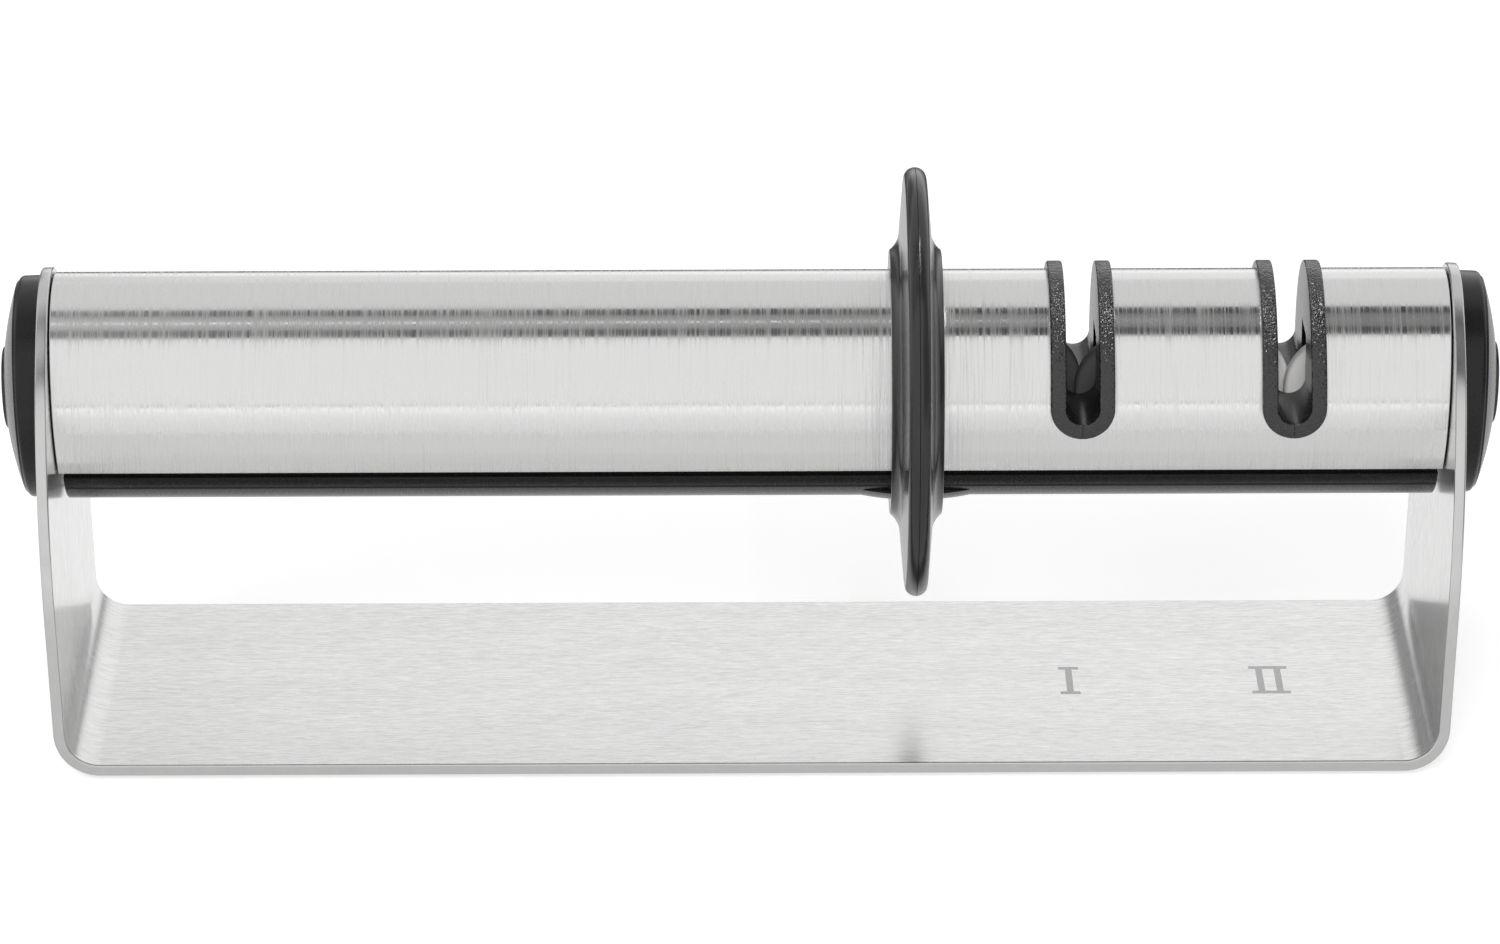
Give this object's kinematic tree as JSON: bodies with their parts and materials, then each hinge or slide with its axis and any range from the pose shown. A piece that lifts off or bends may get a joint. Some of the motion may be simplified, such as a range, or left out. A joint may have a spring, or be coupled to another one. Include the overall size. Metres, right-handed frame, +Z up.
{
  "type": "pull through knife sharpener",
  "caption": "Bench knife sharpener: a horizontal steel tube between the ends of a bent steel base, with a handle, a round hand guard and two V slots over sharpening wheels.",
  "frame": {"origin": "middle of the footprint, on the plane that the foot pads rest on", "axes": "+X along the tube towards the sharpening head, +Y away from the user, +Z up"},
  "size_m": [0.2644, 0.077, 0.0982],
  "materials": {
    "brushed_steel_sheet": "brushed along the base, satin",
    "brushed_steel_tube": "brushed around the tube, satin",
    "black_plastic": "satin, smooth",
    "grained_plastic": "fine spark-eroded grain",
    "inner_plastic": "moulded, unpolished",
    "washer_plastic": "smooth",
    "foot_rubber": "matt",
    "coarse_abrasive": "diamond-coated steel, fine grit",
    "fine_ceramic": "fine ground ceramic",
    "pin_steel": "ground bright",
    "screw_steel": "zinc plated"
  },
  "bodies": {
    "stand": {"base_bracket": "brushed_steel_sheet", "foot_pads": "foot_rubber", "handle_shell": "brushed_steel_tube", "head_shell": "brushed_steel_tube", "bottom_rail": "black_plastic", "handle_core": "inner_plastic", "head_core": "inner_plastic", "collar_left_half": "black_plastic", "collar_right_half": "black_plastic", "collar_key": "black_plastic", "slot_liner_coarse": "grained_plastic", "slot_liner_fine": "grained_plastic", "coarse_axle_rear": "pin_steel", "coarse_axle_front": "pin_steel", "fine_axle_rear": "pin_steel", "fine_axle_front": "pin_steel", "thrust_washers": "washer_plastic", "spacer_sleeves": "inner_plastic", "left_end_plug": "inner_plastic", "right_end_plug": "inner_plastic", "left_end_cap": "black_plastic", "right_end_cap": "black_plastic", "left_cap_disc": "black_plastic", "right_cap_disc": "black_plastic", "end_screws": "screw_steel", "rail_screws": "screw_steel"},
    "coarse_wheel_rear_body": {"coarse_wheel_rear": "coarse_abrasive"},
    "coarse_wheel_front_body": {"coarse_wheel_front": "coarse_abrasive"},
    "fine_wheel_rear_body": {"fine_wheel_rear": "fine_ceramic"},
    "fine_wheel_front_body": {"fine_wheel_front": "fine_ceramic"}
  },
  "joints": [
    {"name": "coarse_wheel_rear_spin", "type": "hinge", "parent": "stand", "child": "coarse_wheel_rear_body", "pos_m": [0.0492, 0.00195, 0.0597], "axis": [0, 1, 0], "continuous": true},
    {"name": "coarse_wheel_front_spin", "type": "hinge", "parent": "stand", "child": "coarse_wheel_front_body", "pos_m": [0.0668, -0.00195, 0.0597], "axis": [0, 1, 0], "continuous": true},
    {"name": "fine_wheel_rear_spin", "type": "hinge", "parent": "stand", "child": "fine_wheel_rear_body", "pos_m": [0.0862, 0.00195, 0.0597], "axis": [0, 1, 0], "continuous": true},
    {"name": "fine_wheel_front_spin", "type": "hinge", "parent": "stand", "child": "fine_wheel_front_body", "pos_m": [0.1038, -0.00195, 0.0597], "axis": [0, 1, 0], "continuous": true}
  ]
}
